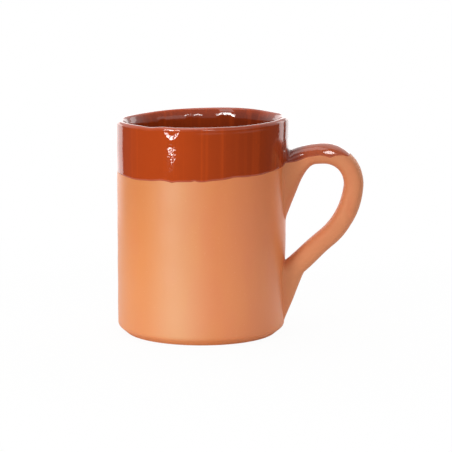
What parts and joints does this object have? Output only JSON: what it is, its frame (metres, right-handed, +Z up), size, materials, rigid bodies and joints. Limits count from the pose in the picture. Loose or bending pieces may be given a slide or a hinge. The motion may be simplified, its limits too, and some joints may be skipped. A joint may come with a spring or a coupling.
{
  "type": "mug",
  "caption": "Straight-sided terracotta mug with a pulled strap handle, dipped in clear brown glaze over the rim and upper wall.",
  "frame": {"origin": "centre of the foot's resting face, on the cup's axis", "axes": "+Z up along the cup's axis, +X out through the handle"},
  "size_m": [0.1219, 0.084, 0.1075],
  "materials": {
    "clay": "satin",
    "glaze": "gloss"
  },
  "bodies": {
    "root": {"body": "clay", "handle": "clay", "upper_joint_clay": "clay", "lower_joint_clay": "clay", "glaze_lining": "glaze", "glaze_band": "glaze", "glaze_handle": "glaze"}
  },
  "joints": []
}
